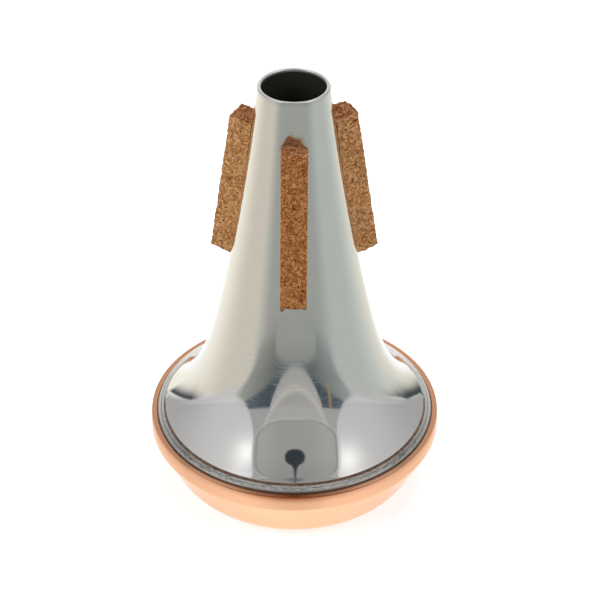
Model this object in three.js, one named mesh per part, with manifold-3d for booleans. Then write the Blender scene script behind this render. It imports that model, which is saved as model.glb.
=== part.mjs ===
// Trumpet straight mute: a spun aluminium cone whose wide end is seamed into a spun copper
// cup, with three cork strips glued round the small end to grip the bell of the trumpet.
// Millimetres, +Z up along the axis. The origin is the middle of the flat face that the
// mute stands on, and the front cork faces -Y.

import * as THREE from 'three';
import { mergeVertices } from 'three/addons/utils/BufferGeometryUtils.js';
import Module from 'manifold-3d';

// Whole mute
const overallHeight = 165.7;      // flat base to the rounded edge of the mouth
const rimRadius = 54;             // outside of the copper wall
const mouthRadius = 12.4;         // outside of the small end
const fitGap = 0.3;               // clearance in the seam, and the glue line under a cork

// Copper cup
const cupSheet = 0.9;             // sheet thickness
const cupHeight = 29;             // flat base to the top of the turned-in lip
const bowlHeight = 22;            // flat base to the crease under the straight wall
const creaseStep = 0.5;           // how far the bowl starts inside the wall
const bowlCorner = 15;            // outside radius between the flat base and the bowl's side
const bowlSideAngle = THREE.MathUtils.degToRad(64);   // side of the bowl, from level
const lipWidth = 2.3;             // how far the lip is turned in over the cone's flange
const lipRound = 0.8;             // rolled outer edge of the lip
const lipEdgeRound = 0.25;        // dressed inner edge of the lip

// Aluminium cone
const coneSheet = 1.2;            // sheet thickness
const footRise = 1.8;             // edge of the flare above the top of the copper lip
const flareReach = 13.9;          // height in which the flare at the foot fades by e
const flareShare = 0.343;         // part of the growth in radius that the flare makes
const bowShare = 0.289;           // part of the long taper that grows with the square
const footEdgeRound = 0.35;       // rounded edge where the flare steps down
const grooveWidth = 0.3;          // flat floor of the groove between flare and bead
const grooveDepth = 0.45;         // groove floor below the crest of the bead
const beadWidth = 2.3;            // rolled bead inside the copper lip
const beadProud = 0.6;            // crest of the bead above the copper lip
const beadCrestShare = 0.4;       // where the crest lies across the bead
const skirtCorner = 0.5;          // bend from the flange into the skirt

// Cork strips
const corkWidth = 9.6;
const corkThickness = 8.4;
const corkTop = 149.5;            // height at which the upper end meets the cone
const corkBottom = 93.2;          // height at which the lower end meets the cone
const corkEdge = 0.45;            // rubbed long edges
const corkSpread = THREE.MathUtils.degToRad(117);     // side corks, each way from the front one
const corkRoot = 4;               // strip cut away where it is fitted to the cone

// Facets
const turnSegments = 64;
const coneSteps = 17;
const cornerSteps = 6;
const roundSteps = 3;
const bendSteps = 2;

// Places worked out from the sizes above
const cupInnerRadius = rimRadius - cupSheet;
const lipInnerRadius = rimRadius - lipWidth;
const lipUnderZ = cupHeight - cupSheet;
const flangeZ = lipUnderZ - fitGap;
const skirtOuterRadius = cupInnerRadius - fitGap;
const skirtInnerRadius = skirtOuterRadius - coneSheet;
const beadOuterRadius = lipInnerRadius - fitGap;
const beadInnerRadius = beadOuterRadius - beadWidth;
const beadCrestRadius = beadInnerRadius + beadWidth * beadCrestShare;
const beadCrestZ = cupHeight + beadProud;
const grooveZ = beadCrestZ - grooveDepth;
const stepRadius = beadInnerRadius - grooveWidth;
const footRadius = stepRadius - footEdgeRound;
const footZ = cupHeight + footRise;
const mouthZ = overallHeight - coneSheet / 2;
const coneLength = mouthZ - footZ;
const creaseRadius = rimRadius - creaseStep;
const sideTangentZ = bowlCorner * (1 - Math.cos(bowlSideAngle));
const flatRadius = creaseRadius - (bowlHeight - sideTangentZ) / Math.tan(bowlSideAngle)
  - bowlCorner * Math.sin(bowlSideAngle);

// Points on an ellipse round (r, z); the angles are in quarter turns from outwards to up
function arc(r, z, radiusR, radiusZ, fromQuarter, toQuarter, steps) {
  const points = [];
  for (let i = 0; i <= steps; i++) {
    const angle = (fromQuarter + (toQuarter - fromQuarter) * i / steps) * Math.PI / 2;
    points.push(new THREE.Vector2(r + radiusR * Math.cos(angle), z + radiusZ * Math.sin(angle)));
  }
  return points;
}

// A profile of (radius, height) points that runs down the outside, turned about Z
function turned(points) {
  const geometry = new THREE.LatheGeometry([...points].reverse(), turnSegments);
  geometry.rotateX(Math.PI / 2);
  return geometry;
}

// Outside radius of the cone at a height: a bowed taper and a flare that fades upwards
function coneRadius(z) {
  const down = (mouthZ - z) / coneLength;
  const taper = (1 - bowShare) * down + bowShare * down * down;
  const faded = Math.exp(-coneLength / flareReach);
  const flare = (Math.exp((footZ - z) / flareReach) - faded) / (1 - faded);
  return mouthRadius + (footRadius - mouthRadius) * ((1 - flareShare) * taper + flareShare * flare);
}

// How fast that radius grows downwards
function coneSlope(z) {
  const down = (mouthZ - z) / coneLength;
  const taper = ((1 - bowShare) + 2 * bowShare * down) / coneLength;
  const faded = Math.exp(-coneLength / flareReach);
  const flare = Math.exp((footZ - z) / flareReach) / (1 - faded) / flareReach;
  return (footRadius - mouthRadius) * ((1 - flareShare) * taper + flareShare * flare);
}

// The cone's surface from the mouth down to the foot, moved outwards along its normal
function coneCurve(offset) {
  const points = [];
  for (let i = 0; i <= coneSteps; i++) {
    const even = i / coneSteps;
    const down = (even + Math.sin(even * Math.PI / 2)) / 2;
    const z = mouthZ - down * coneLength;
    const slope = coneSlope(z);
    const across = offset / Math.hypot(1, slope);
    points.push(new THREE.Vector2(coneRadius(z) + across, z + across * slope));
  }
  return points;
}

// Inside of the bowl's side: its height at a radius
function bowlInsideZ(radius) {
  const insideCorner = bowlCorner - cupSheet;
  const tangentRadius = flatRadius + insideCorner * Math.sin(bowlSideAngle);
  const tangentZ = bowlCorner - insideCorner * Math.cos(bowlSideAngle);
  return tangentZ + (radius - tangentRadius) * Math.tan(bowlSideAngle);
}

// Spun cone: mouth with a rounded edge, long flare, step, groove and bead, a flange under
// the copper lip and a skirt that stands on the shoulder of the cup
function coneShell() {
  const skirtBottomZ = bowlInsideZ(skirtOuterRadius) + fitGap / Math.cos(bowlSideAngle);
  const flangeUnderZ = flangeZ - coneSheet;
  const grooveUnderZ = grooveZ - coneSheet;
  const stepInnerRadius = stepRadius - coneSheet;
  const outside = coneCurve(0);
  const inside = coneCurve(-coneSheet).filter((p) => p.x < stepInnerRadius && p.y < mouthZ).reverse();
  const bead = [
    ...arc(beadCrestRadius, grooveZ, beadCrestRadius - beadInnerRadius, grooveDepth, 2, 1, roundSteps),
    ...arc(beadCrestRadius, flangeZ, beadOuterRadius - beadCrestRadius, beadCrestZ - flangeZ,
      1, 0, roundSteps).slice(1),
  ];
  const profile = [
    new THREE.Vector2(skirtOuterRadius, skirtBottomZ),
    new THREE.Vector2(skirtInnerRadius, skirtBottomZ),
    new THREE.Vector2(skirtInnerRadius, flangeUnderZ),
    new THREE.Vector2(beadOuterRadius - coneSheet, flangeUnderZ),
    new THREE.Vector2(beadCrestRadius, grooveUnderZ),
    new THREE.Vector2(stepInnerRadius, grooveUnderZ),
    ...inside,
    ...arc(mouthRadius - coneSheet / 2, mouthZ, coneSheet / 2, coneSheet / 2, 2, 0, 2 * roundSteps),
    ...outside.slice(1),
    ...arc(footRadius, footZ - footEdgeRound, footEdgeRound, footEdgeRound, 1, 0, roundSteps).slice(1),
    new THREE.Vector2(stepRadius, grooveZ),
    ...bead,
    ...arc(skirtOuterRadius - skirtCorner, flangeZ - skirtCorner, skirtCorner, skirtCorner, 1, 0, bendSteps),
    new THREE.Vector2(skirtOuterRadius, skirtBottomZ),
  ];
  return turned(profile);
}

// Spun cup: flat base, rounded corner, slanted side, crease, straight wall and the lip that
// is turned in over the flange of the cone
function baseCup() {
  const sideQuarter = bowlSideAngle / (Math.PI / 2);
  const insideCorner = bowlCorner - cupSheet;
  const profile = [
    new THREE.Vector2(0, cupSheet),
    ...arc(flatRadius, bowlCorner, insideCorner, insideCorner, -1, sideQuarter - 1, cornerSteps),
    new THREE.Vector2(cupInnerRadius, bowlInsideZ(cupInnerRadius)),
    new THREE.Vector2(cupInnerRadius, lipUnderZ),
    new THREE.Vector2(lipInnerRadius, lipUnderZ),
    ...arc(lipInnerRadius + lipEdgeRound, cupHeight - lipEdgeRound, lipEdgeRound, lipEdgeRound,
      2, 1, bendSteps),
    ...arc(rimRadius - lipRound, cupHeight - lipRound, lipRound, lipRound, 1, 0, roundSteps),
    ...arc(creaseRadius, bowlHeight + creaseStep, creaseStep, creaseStep, 0, -1, bendSteps),
    ...arc(flatRadius, bowlCorner, bowlCorner, bowlCorner, sideQuarter - 1, -1, cornerSteps),
    new THREE.Vector2(0, 0),
  ];
  return turned(profile);
}

const wasm = await Module();
wasm.setup();

function toManifold(geometry) {
  const bare = geometry.clone();
  bare.deleteAttribute('normal');
  bare.deleteAttribute('uv');
  const merged = mergeVertices(bare);
  return new wasm.Manifold(new wasm.Mesh({
    numProp: 3,
    vertProperties: new Float32Array(merged.attributes.position.array),
    triVerts: new Uint32Array(merged.index.array),
  }));
}

function toGeometry(manifold) {
  const mesh = manifold.getMesh();
  const geometry = new THREE.BufferGeometry();
  geometry.setAttribute('position', new THREE.BufferAttribute(new Float32Array(mesh.vertProperties), 3));
  geometry.setIndex(new THREE.BufferAttribute(new Uint32Array(mesh.triVerts), 1));
  geometry.computeVertexNormals();
  return geometry;
}

// Solid of the cone and its glue line, which the back of each cork is fitted to
function corkSeat() {
  return turned([
    new THREE.Vector2(0, overallHeight),
    ...coneCurve(fitGap),
    new THREE.Vector2(0, footZ),
  ]);
}

// Cork strip with ends cut square to its length and a hollowed back, facing +X
function corkStrip() {
  const bottom = new THREE.Vector2(coneRadius(corkBottom), corkBottom);
  const top = new THREE.Vector2(coneRadius(corkTop), corkTop);
  const length = bottom.distanceTo(top);
  const alongR = (top.x - bottom.x) / length;
  const alongZ = (top.y - bottom.y) / length;

  const half = corkWidth / 2;
  const section = new THREE.Shape();
  section.moveTo(-half, -corkRoot);
  section.lineTo(half, -corkRoot);
  section.lineTo(half, corkThickness - corkEdge);
  section.absarc(half - corkEdge, corkThickness - corkEdge, corkEdge, 0, Math.PI / 2);
  section.absarc(corkEdge - half, corkThickness - corkEdge, corkEdge, Math.PI / 2, Math.PI);
  section.closePath();
  const blank = new THREE.ExtrudeGeometry(section, {
    depth: length, bevelEnabled: false, curveSegments: bendSteps,
  });

  const across = new THREE.Vector3(0, -1, 0);
  const outwards = new THREE.Vector3(alongZ, 0, -alongR);
  const along = new THREE.Vector3(alongR, 0, alongZ);
  const place = new THREE.Matrix4().makeBasis(across, outwards, along);
  place.setPosition(bottom.x, 0, bottom.y);
  blank.applyMatrix4(place);
  return toGeometry(toManifold(blank).subtract(toManifold(corkSeat())));
}

const aluminium = new THREE.MeshStandardMaterial({ color: 0xc9cac6, roughness: 0.16, metalness: 1 });
const copper = new THREE.MeshStandardMaterial({ color: 0xe0a07a, roughness: 0.3, metalness: 1 });
const cork = new THREE.MeshStandardMaterial({ color: 0xa87748, roughness: 0.9, metalness: 0 });

function named(name, geometry, material) {
  const mesh = new THREE.Mesh(geometry, material);
  mesh.name = name;
  return mesh;
}

const mute = new THREE.Group();
mute.add(named('base_cup', baseCup(), copper));
mute.add(named('cone_shell', coneShell(), aluminium));

const frontAngle = -Math.PI / 2;
const corkAngles = {
  cork_front: frontAngle,
  cork_left: frontAngle - corkSpread,
  cork_right: frontAngle + corkSpread,
};
const strip = corkStrip();
for (const [name, angle] of Object.entries(corkAngles)) {
  const mesh = named(name, strip.clone(), cork);
  mesh.rotation.z = angle;
  mute.add(mesh);
}

export default mute;
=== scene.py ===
# Trumpet straight mute: the looks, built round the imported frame.
# Metres, +Z up along the axis, the front cork faces -Y.
from math import atan2, cos, exp, hypot, pi, radians, sin, tan

import bpy
import numpy as np
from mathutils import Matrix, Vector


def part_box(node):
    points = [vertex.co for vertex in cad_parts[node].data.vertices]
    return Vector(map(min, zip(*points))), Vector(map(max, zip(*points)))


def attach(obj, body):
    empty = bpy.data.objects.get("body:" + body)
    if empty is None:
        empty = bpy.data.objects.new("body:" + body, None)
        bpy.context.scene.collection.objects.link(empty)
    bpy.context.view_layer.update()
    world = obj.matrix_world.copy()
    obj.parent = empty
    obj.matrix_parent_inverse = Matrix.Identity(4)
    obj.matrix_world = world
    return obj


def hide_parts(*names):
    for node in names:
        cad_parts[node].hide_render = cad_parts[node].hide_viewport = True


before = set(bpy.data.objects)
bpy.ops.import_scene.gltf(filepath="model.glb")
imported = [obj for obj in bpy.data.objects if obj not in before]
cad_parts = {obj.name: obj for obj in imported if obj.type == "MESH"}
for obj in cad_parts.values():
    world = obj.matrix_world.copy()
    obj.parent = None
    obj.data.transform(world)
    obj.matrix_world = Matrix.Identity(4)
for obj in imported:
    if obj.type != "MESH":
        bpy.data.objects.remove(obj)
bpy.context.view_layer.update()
mm = 0.001

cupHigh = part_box("base_cup")[1]
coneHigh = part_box("cone_shell")[1]
corkLow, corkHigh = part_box("cork_front")


# The view of the photograph: a long lens in front of the mute, looking down
viewSet = {
    "distance": 590 * mm,  # in front of the axis
    "height": 496.7 * mm,  # above the base
    "aside": 2.08 * mm,  # to the right of the axis
    "pitchDown": 35.46,  # degrees
    "focalPixels": 1990.94,
    "framePixels": 600,
    "sensorWidth": 36.0,
}


def addObject(name, data):
    made = bpy.data.objects.new(name, data)
    bpy.context.scene.collection.objects.link(made)
    return made


def addCamera():
    data = bpy.data.cameras.new("camera")
    data.sensor_width = viewSet["sensorWidth"]
    data.lens = viewSet["focalPixels"] / viewSet["framePixels"] * viewSet["sensorWidth"]
    camera = addObject("camera", data)
    camera.location = (viewSet["aside"], -viewSet["distance"], viewSet["height"])
    camera.rotation_euler = (radians(90 - viewSet["pitchDown"]), 0, 0)
    bpy.context.scene.camera = camera


addCamera()
print("camera is in place")


# Values and meshes that several shapes use

hashPrimes = (73856093, 19349663, 83492791)  # one for each direction
saltPrime = 2654435761
mixPrime = 1274126177
bits32 = 0xFFFFFFFF


def ramp(low, high, values):
    # 0 below low, 1 above high and 3t^2 - 2t^3 between; with low above high it falls
    t = np.clip((values - low) / (high - low), 0, 1)
    return t * t * (3 - 2 * t)


def hump(values, middle, width, power=2):
    # e to the minus distance from the middle over the width, to a power
    return np.exp(-(np.abs(values - middle) / width) ** power)


def mix(first, second, share):
    # That share of the way from first to second
    return first + (second - first) * share


def hashed(cells, salt):
    # A fixed number from 0 to 1 for each whole-number cell (i, j, k): its mixed bits over 2^32 - 1
    i, j, k = (cells[..., n].astype(np.int64) * hashPrimes[n] for n in range(3))
    bits = i ^ j ^ k ^ (salt * saltPrime)
    bits = (bits ^ (bits >> 13)) & bits32
    bits = (bits * mixPrime) & bits32
    return ((bits ^ (bits >> 16)) & bits32) / bits32


def cloudNoise(points, cell, salt):
    # Values at the corners of a lattice of cubes, blended smoothly inside each cube
    scaled = points / cell
    base = np.floor(scaled)
    t = ramp(0, 1, scaled - base)
    total = np.zeros(points.shape[:-1])
    for corner in np.ndindex(2, 2, 2):
        step = np.array(corner)
        weight = np.prod(np.where(step == 1, t, 1 - t), axis=-1)
        total += weight * hashed(base + step, salt)
    return total


def grains(points, cell, salt):
    # One seed in each cube of a lattice: distances to the nearest two, and the nearest one's number
    scaled = points / cell
    base = np.floor(scaled)
    nearest = np.full(points.shape[:-1], 9.0)
    second = nearest.copy()
    number = np.zeros(points.shape[:-1])
    for offset in np.ndindex(3, 3, 3):
        cube = base + np.array(offset) - 1
        seed = cube + np.stack([hashed(cube, salt + n) for n in range(3)], -1)
        away = np.linalg.norm(seed - scaled, axis=-1)
        closer = away < nearest
        second = np.where(closer, nearest, np.minimum(second, away))
        number = np.where(closer, hashed(cube, salt + 3), number)
        nearest = np.where(closer, away, nearest)
    return nearest * cell, second * cell, number


def arc(r, z, radiusR, radiusZ, fromQuarter, toQuarter, steps):
    # Part of an ellipse: r + radiusR cos a, z + radiusZ sin a, with a in quarter turns from outwards to up
    a = np.linspace(fromQuarter, toQuarter, steps + 1) * pi / 2
    return np.stack([r + radiusR * np.cos(a), z + radiusZ * np.sin(a)], -1)


def line(start, end, steps):
    # Points spaced evenly from start to end, without the last one
    t = np.linspace(0, 1, steps, endpoint=False)[:, None]
    return np.array(start) * (1 - t) + np.array(end) * t


def polyline(corners, steps):
    # Lines from corner to corner, each in its own number of steps, without the last corner
    return np.vstack([line(*ends) for ends in zip(corners[:-1], corners[1:], steps)])


def joined(parts):
    # One profile out of its named parts, and where in it each part starts and ends
    counts = [len(points) for points in parts.values()]
    ends = np.cumsum(counts)
    return np.vstack(list(parts.values())), dict(zip(parts, zip(ends - counts, ends)))


def zoneOf(spans, *patches):
    # Values along a joined profile: 0, but for patches of (first part, last part, values)
    zone = np.zeros(max(end for start, end in spans.values()))
    for first, last, values in patches:
        zone[spans[first][0]:spans[last][1]] = values
    return zone


def meshOf(name, points, quads, triangles=(), attributes=None):
    # Puts whole arrays into a mesh; if the volume they enclose is negative, every face is turned round
    quads = np.array(quads, np.int64).reshape(-1, 4)
    triangles = np.array(triangles, np.int64).reshape(-1, 3)
    fans = np.concatenate([quads[:, [0, 1, 2]], quads[:, [0, 2, 3]], triangles])
    corners = points[fans]
    volume = np.einsum("ij,ij->", corners[:, 0], np.cross(corners[:, 1], corners[:, 2])) / 6
    if volume < 0:
        quads = quads[:, ::-1]
        triangles = triangles[:, ::-1]
    loops = np.concatenate([quads.ravel(), triangles.ravel()])
    totals = np.concatenate([np.full(len(quads), 4), np.full(len(triangles), 3)])
    starts = np.concatenate([[0], np.cumsum(totals)[:-1]])
    mesh = bpy.data.meshes.new(name)
    mesh.vertices.add(len(points))
    mesh.vertices.foreach_set("co", points.astype(np.float32).ravel())
    mesh.loops.add(len(loops))
    mesh.loops.foreach_set("vertex_index", loops.astype(np.int32))
    mesh.polygons.add(len(totals))
    mesh.polygons.foreach_set("loop_start", starts.astype(np.int32))
    mesh.polygons.foreach_set("loop_total", totals.astype(np.int32))
    mesh.polygons.foreach_set("use_smooth", np.ones(len(totals), bool))
    for key, values in (attributes or {}).items():
        kind, slot = ("FLOAT_COLOR", "color") if values.ndim == 2 else ("FLOAT", "value")
        made = mesh.attributes.new(key, kind, "POINT")
        made.data.foreach_set(slot, values.astype(np.float32).ravel())
    mesh.update(calc_edges=True)
    mesh.validate()
    return addObject(name, mesh)


def ringQuads(rows, count, segments):
    # Quads between each ring of points and the next one, for so many rows; count is the number of rings
    here = np.arange(rows)[:, None] * segments
    ahead = (here + segments) % (count * segments)
    columns = np.arange(segments)[None, :]
    following = (columns + 1) % segments
    return np.stack([here + columns, here + following, ahead + following, ahead + columns], -1)


def turned(name, profile, segments, closed, push, zones, sharp=35):
    # A profile of (radius, height) carried round Z: x = r cos a, y = r sin a. A closed profile joins its end
    # to its start, an open one begins and ends in a pole on the axis. push(a, run, ring) says how far a point
    # moves along the normal; edges of more than so many degrees stay sharp
    poles = [] if closed else [profile[0], profile[-1]]
    ring = profile if closed else profile[1:-1]
    count = len(ring)
    ahead = np.roll(ring, -1, 0) if closed else np.vstack([ring[1:], profile[-1:]])
    behind = np.roll(ring, 1, 0) if closed else np.vstack([profile[:1], ring[:-1]])
    run = np.concatenate([[0], np.cumsum(np.linalg.norm(np.diff(ring, axis=0), axis=1))])
    along = ahead - behind
    normal = np.stack([-along[:, 1], along[:, 0]], -1)
    normal /= np.linalg.norm(normal, axis=1, keepdims=True)
    angle = np.arange(segments) * 2 * pi / segments
    amount = push(angle[None, :], run[:, None], ring)
    r = ring[:, :1] + normal[:, :1] * amount
    z = ring[:, 1:] + normal[:, 1:] * amount
    points = np.stack([r * np.cos(angle), r * np.sin(angle), z + 0 * angle], -1).reshape(-1, 3)
    quads = ringQuads(count if closed else count - 1, count, segments)
    triangles = ()
    fields = {"run": np.repeat(run, segments)}
    for key, values in zones.items():
        fields[key] = np.repeat(values if closed else values[1:-1], segments)
    if poles:
        first = np.arange(segments)
        following = (first + 1) % segments
        toLast = (count - 1) * segments
        startPole = np.full(segments, count * segments)
        triangles = np.concatenate([np.stack([following, first, startPole], -1),
                                    np.stack([first + toLast, following + toLast, startPole + 1], -1)])
        points = np.vstack([points, [[0, 0, poles[0][1]], [0, 0, poles[1][1]]]])
        for key in fields:
            fields[key] = np.concatenate([fields[key], [fields[key][0], fields[key][-1]]])
    piece = meshOf(name, points, quads, triangles, fields)
    piece.data.set_sharp_from_angle(angle=radians(sharp))
    return piece


def placesOf(piece):
    # The x, y and z of all vertices
    points = np.empty(len(piece.data.vertices) * 3)
    piece.data.vertices.foreach_get("co", points)
    return points.reshape(-1, 3).T


def fieldOf(piece, name):
    values = np.empty(len(piece.data.vertices))
    piece.data.attributes[name].data.foreach_get("value", values)
    return values


def writeField(piece, name, values):
    attributes = piece.data.attributes
    made = attributes.get(name) or attributes.new(name, "FLOAT", "POINT")
    made.data.foreach_set("value", values.astype(np.float32))


# Aluminium cone: the taper bows, and a flare that fades upwards opens the foot

cone = {
    "mouthRadius": 12.4 * mm,
    "sheet": 1.2 * mm,
    "stepInset": 5.43 * mm,  # from the rim in to the edge of the flare
    "footRise": 1.8 * mm,  # edge of the flare above the copper lip
    "flareReach": 13.9 * mm,
    "flareShare": 0.343,
    "bowShare": 0.289,
    "footEdgeRound": 0.35 * mm,
    "footTilt": 48,  # degrees from level of the normal where the flare meets its rounded edge
    "grooveWidth": 0.6 * mm,
    "grooveDrop": 1.05 * mm,  # floor of the groove below the edge of the flare
    "gapShadeReach": 0.03 * mm,  # how far into the bead's side the painted shade of the lip's gap reaches
    "ridgeRise": 0.24 * mm,  # crest of the bead above the groove
    "ridgeFront": 0.18 * mm,  # width of its rounded inner side
    "ridgeTilt": 22,  # degrees by which its top slopes down outwards
    "firstBand": 0.75 * mm,  # the top, in two bands with a fine turned line between them
    "toolLine": 0.2 * mm,
    "secondBand": 0.65 * mm,
    "outerRound": 0.55 * mm,  # height over which it rounds into its steep side
    "skirtCorner": 0.5 * mm,
    "segments": 384,
    "taperSteps": 96,
    "chatter": 0.014 * mm,  # height of the tool marks on the bead
    "chatterSines": 26,
    "chatterCounts": (40, 150),  # waves round the axis
    "chatterTwist": 2500,  # most that a wave is sheared along the profile, in radians per metre
    "mouthWobble": 0.03 * mm,
    "wobbleDepth": (1.6 * mm, 0.2 * mm),
    "mouthRoll": 0.08 * mm,  # how far the rolled edge stands out over the neck below it
    "rollMiddle": 0.6 * mm,  # below the top
    "rollWidth": 0.5 * mm,
    "insideShadeDepth": 0.6 * mm,  # depth below the mouth over which the inside darkens into painted shade
    "hairFrom": (41 * mm, 47 * mm),  # heights over which the hair scratches set in
    "residueTo": (102, 88),  # degrees each way from the front: groove residue and painted shade set in
    "marksTo": (95, 45),  # the same for the bead's marks
    "wornTo": (135, 105),  # and for its dull brushing
    "filmFoot": (147 * mm, 149 * mm),  # the film that the glue left above the front cork sets in
    "filmTop": 155 * mm,
    "filmEnd": (0.4 * mm, -1.2 * mm),  # and ends, about its top
    "filmHeights": (149 * mm, 154 * mm),
    "filmWidths": (4.6 * mm, 2.9 * mm),  # half width at those heights
    "strokeWidth": 0.7 * mm,  # its uneven upper end
    "strokeHeight": 2.4 * mm,
}

cup = {
    "sheet": 0.9 * mm,
    "bowlHeight": 22 * mm,
    "creaseStep": 0.5 * mm,
    "bowlCorner": 15 * mm,
    "sideAngle": 64,  # degrees from level
    "lipWidth": 2.15 * mm,
    "lipRound": (0.45 * mm, 3.4 * mm),  # the wall rolls over inwards: across and up
    "lipEdgeRound": 0.2 * mm,
    "lipTop": 0.4 * mm,  # crest of the lip under the top of the drawn cup
    "lipDrop": 0.2 * mm,  # the pressed lip slopes down towards the bead
    "fitGap": 0.3 * mm,
    "closeGap": 0.35 * mm,  # between the lip's edge and the bead
    "segments": 384,
    "spinWave": 0.03 * mm,  # faint waves that the spinning roller leaves
    "spinSteps": (1400, 300),  # radians per metre along the profile, straight and round the axis
    "lipFrontShadeSpan": 18,  # degrees each way from the front of the lip's painted dark reflection
}

rimRadius = cupHigh.x
cupHeight = cupHigh.z
overallHeight = coneHigh.z
wallRadius = rimRadius - cup["sheet"]
lipRadius = rimRadius - cup["lipWidth"]
lipUnderZ = cupHeight - cup["sheet"]
flangeZ = lipUnderZ - cup["fitGap"]
skirtRadius = wallRadius - cup["fitGap"]
beadRadius = lipRadius - cup["closeGap"]
stepRadius = rimRadius - cone["stepInset"]
footTilt = radians(cone["footTilt"])
footRadius = stepRadius - cone["footEdgeRound"] * (1 - cos(footTilt))
footZ = cupHeight + cone["footRise"]
grooveZ = footZ - cone["grooveDrop"]
crestRadius = stepRadius + cone["grooveWidth"] + cone["ridgeFront"]
ridgeZ = grooveZ + cone["ridgeRise"]
mouthZ = overallHeight - cone["sheet"] / 2
coneLength = mouthZ - footZ


def coneRadius(z):
    # Mouth radius plus the growth: a share of it goes as e to the minus height over the flare's reach, the
    # rest as down and down squared, where down is 0 at the mouth and 1 at the foot
    down = (mouthZ - z) / coneLength
    taper = mix(down, down ** 2, cone["bowShare"])
    faded = exp(-coneLength / cone["flareReach"])
    flare = (np.exp((footZ - z) / cone["flareReach"]) - faded) / (1 - faded)
    return mix(cone["mouthRadius"], footRadius, mix(taper, flare, cone["flareShare"]))


def coneCurve(offset, steps):
    # The cone's side from the mouth to the foot, moved out along its normal; steps crowd together at the foot
    even = np.linspace(0, 1, steps + 1)
    z = mouthZ - (even + np.sin(even * pi / 2)) / 2 * coneLength
    nudge = 0.01 * mm
    slope = (coneRadius(z - nudge) - coneRadius(z + nudge)) / (2 * nudge)
    across = offset / np.hypot(1, slope)
    return np.stack([coneRadius(z) + across, z + across * slope], -1)


def flatRadius():
    # Radius of the flat base: from the crease down the slanted side, then round the corner
    angle = radians(cup["sideAngle"])
    tangentZ = cup["bowlCorner"] * (1 - cos(angle))
    down = (cup["bowlHeight"] - tangentZ) / tan(angle)
    return rimRadius - cup["creaseStep"] - down - cup["bowlCorner"] * sin(angle)


def bowlInsideZ(radius):
    # Height of the inside of the bowl's slanted side at a radius: a straight line that leaves the corner arc
    angle = radians(cup["sideAngle"])
    inside = cup["bowlCorner"] - cup["sheet"]
    tangentRadius = flatRadius() + inside * sin(angle)
    tangentZ = cup["bowlCorner"] - inside * cos(angle)
    return tangentZ + (radius - tangentRadius) * tan(angle)


def coneProfile():
    # Skirt, underside, inside, rolled mouth, outside, step, groove, bead, flange and back to the skirt
    sheet = cone["sheet"]
    skirtInner = skirtRadius - sheet
    stepInner = stepRadius - sheet
    skirtBottomZ = bowlInsideZ(skirtRadius) + cup["fitGap"] / cos(radians(cup["sideAngle"]))
    outside = coneCurve(0, cone["taperSteps"])
    inside = coneCurve(-sheet, cone["taperSteps"] // 2)
    inside = inside[(inside[:, 0] < stepInner) & (inside[:, 1] < mouthZ)][::-1]
    inside = np.vstack([inside[:-1], line(inside[-2], inside[-1], 12)[1:]])  # fine steps by the mouth
    edge = cone["footEdgeRound"]
    edgeZ = footZ - edge * sin(footTilt)
    front = cone["ridgeFront"]
    fall = cone["outerRound"]
    corner = cone["skirtCorner"]
    toolLine = cone["toolLine"]
    outs = np.cumsum([0, cone["firstBand"], toolLine / 2, toolLine / 2, cone["secondBand"]])
    bandsZ = ridgeZ - tan(radians(cone["ridgeTilt"])) * outs
    crest, firstEnd, scored, secondStart, secondEnd = np.stack([crestRadius + outs, bandsZ], -1)
    scored[1] -= toolLine
    underside = [(skirtRadius, skirtBottomZ), (skirtInner, skirtBottomZ), (skirtInner, flangeZ - sheet),
                 (beadRadius - sheet, flangeZ - sheet), (crestRadius, grooveZ - sheet),
                 (stepInner, grooveZ - sheet), inside[0]]
    profile, spans = joined({
        "underside": polyline(underside, (2, 3, 1, 2, 1, 1)),
        "inside": inside,
        "mouth": arc(cone["mouthRadius"] - sheet / 2, mouthZ, sheet / 2, sheet / 2, 2, 0, 14),
        "outside": outside[1:],
        "footEdge": arc(stepRadius - edge, edgeZ, edge, edge, cone["footTilt"] / 90, 0, 6)[1:],
        "step": line((stepRadius, edgeZ), (stepRadius, grooveZ), 4)[1:],
        "groove": line((stepRadius, grooveZ), (crestRadius - front, grooveZ), 3),
        "beadFront": arc(crestRadius, grooveZ, front, cone["ridgeRise"], 2, 1, 8),
        "firstBand": line(crest, firstEnd, 6)[1:],
        "toolLine": np.array([firstEnd, scored]),
        "secondBand": line(secondStart, secondEnd, 6),
        "beadRound": arc(secondEnd[0], secondEnd[1] - fall, beadRadius - secondEnd[0], fall, 1, 0, 10),
        "beadSide": line((beadRadius, secondEnd[1] - fall), (beadRadius, flangeZ), 4)[1:],
        "flange": line((beadRadius, flangeZ), (skirtRadius - corner, flangeZ), 2),
        "skirtCorner": arc(skirtRadius - corner, flangeZ - corner, corner, corner, 1, 0, 4),
    })
    insideEnd = spans["inside"][1]
    # Painted shade: the inside darkens to its dull, near black colour with depth below the mouth, the rolled
    # edge a little
    insideShade = np.zeros(len(profile))
    insideShade[:insideEnd] = ramp(0, cone["insideShadeDepth"], mouthZ - profile[:insideEnd, 1])
    insideShade[insideEnd:insideEnd + 3] = (0.3, 0.2, 0.1)
    bead = [("beadFront", "beadSide", 1), ("mouth", "mouth", 0.3)]
    faded = [("beadRound", "beadRound", np.repeat((1, 0.25), (3, 8))), ("beadSide", "beadSide", 0.25)]
    # Where the groove's brown residue and painted shade go: foot edge, step, groove, bead foot, its fine
    # line, flange
    groove = [("footEdge", "footEdge", np.linspace(0.7, 1, 6)), ("step", "groove", 1),
              ("beadFront", "beadFront", (1, 0.8, 0.5, 0.25, 0.1, 0, 0, 0, 0)), ("toolLine", "toolLine", 0.7),
              ("beadRound", "beadRound", np.repeat((0, 0.1), (8, 3))), ("beadSide", "beadSide", 0.1),
              ("flange", "flange", 1)]
    return profile, {"inside": insideShade, "bead": zoneOf(spans, *bead), "groove": zoneOf(spans, *groove),
                     "marks": zoneOf(spans, *bead, *faded)}


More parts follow.
